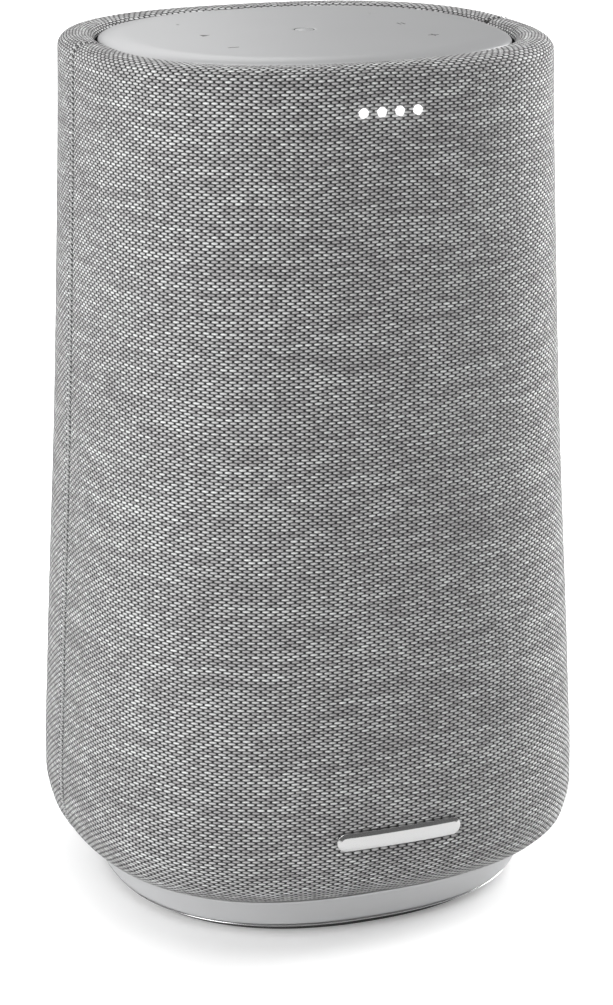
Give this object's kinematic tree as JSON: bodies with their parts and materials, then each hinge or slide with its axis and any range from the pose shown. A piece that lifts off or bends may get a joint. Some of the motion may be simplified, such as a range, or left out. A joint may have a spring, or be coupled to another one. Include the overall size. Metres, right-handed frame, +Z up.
{
  "type": "smart speaker",
  "caption": "Fabric-covered column loudspeaker with a satin touch plate on top, indicator lights behind the cloth and a flared metallic base ring.",
  "frame": {"origin": "middle of the footprint on the standing surface", "axes": "+Z up along the column; front with the lights and the badge faces -Y; +X to the right seen from the front; connector panel faces +Y"},
  "size_m": [0.143, 0.1346, 0.2366],
  "materials": {
    "fabric_grey": "plain weave, light slub weft over thin dark warp",
    "satin_silver": "satin silver",
    "base_grey": "satin neutral grey",
    "polished_metal": "polished",
    "rubber_black": "matt",
    "black_plastic": "fine moulded texture",
    "grey_plastic": "fine moulded texture",
    "clear_plastic": "milky light guide",
    "cone_black": "pressed paper cone",
    "steel": "zinc plated",
    "ferrite": "sintered, dull",
    "copper": "enamelled copper winding",
    "aluminium": "satin",
    "board_green": "solder-mask green circuit board",
    "amber_cloth": "resin-stiffened cloth"
  },
  "bodies": {
    "cabinet": {"base_plinth": "base_grey", "base_trim_ring": "polished_metal", "badge": "polished_metal", "bottom_cover": "black_plastic", "grille_shell": "black_plastic", "top_carrier": "black_plastic", "cabinet_shell": "black_plastic", "front_baffle": "black_plastic", "woofer_frame": "black_plastic", "tweeter_faceplate": "black_plastic", "capacitor_1": "black_plastic", "capacitor_2": "black_plastic", "rear_panel": "black_plastic", "power_inlet": "black_plastic", "foot_ring": "rubber_black", "baffle_gasket": "rubber_black", "woofer_surround": "rubber_black", "microphone_left": "steel", "microphone_right": "steel", "woofer_pole_plate": "steel", "woofer_yoke": "steel", "mute_switch": "steel", "service_port": "steel", "wireless_module": "steel", "base_screw_1": "steel", "base_screw_2": "steel", "base_screw_3": "steel", "base_screw_4": "steel", "woofer_screw_1": "steel", "woofer_screw_2": "steel", "woofer_screw_3": "steel", "woofer_screw_4": "steel", "tweeter_screw_1": "steel", "tweeter_screw_2": "steel", "fabric_front": "fabric_grey", "fabric_rear": "fabric_grey", "top_plate": "satin_silver", "touch_disc": "satin_silver", "light_guide_1": "clear_plastic", "light_guide_2": "clear_plastic", "light_guide_3": "clear_plastic", "light_guide_4": "clear_plastic", "touch_board": "board_green", "light_board": "board_green", "power_supply_board": "board_green", "main_board": "board_green", "rear_board": "board_green", "woofer_spider": "amber_cloth", "woofer_magnet": "ferrite", "tweeter_magnet": "ferrite", "transformer": "ferrite", "amplifier_heat_sink": "aluminium"},
    "woofer_cone_assembly": {"woofer_cone": "cone_black", "woofer_dust_cap": "cone_black", "woofer_voice_coil": "copper"},
    "tweeter_dome_assembly": {"tweeter_dome": "aluminium"},
    "mute_key": {"mute_button": "grey_plastic"}
  },
  "joints": [
    {"name": "woofer_excursion", "type": "slide", "parent": "cabinet", "child": "woofer_cone_assembly", "axis": [0, -1, 0], "range_m": [-0.003, 0.003], "stiffness_N_per_m": 1600, "deforming": ["woofer_surround", "woofer_spider"]},
    {"name": "tweeter_excursion", "type": "slide", "parent": "cabinet", "child": "tweeter_dome_assembly", "axis": [0, -1, 0], "range_m": [-0.0003, 0.0003], "stiffness_N_per_m": 2000},
    {"name": "mute_press", "type": "slide", "parent": "cabinet", "child": "mute_key", "axis": [0, -1, 0], "range_m": [0, 0.0008], "stiffness_N_per_m": 1500, "springref_m": -0.0003}
  ]
}
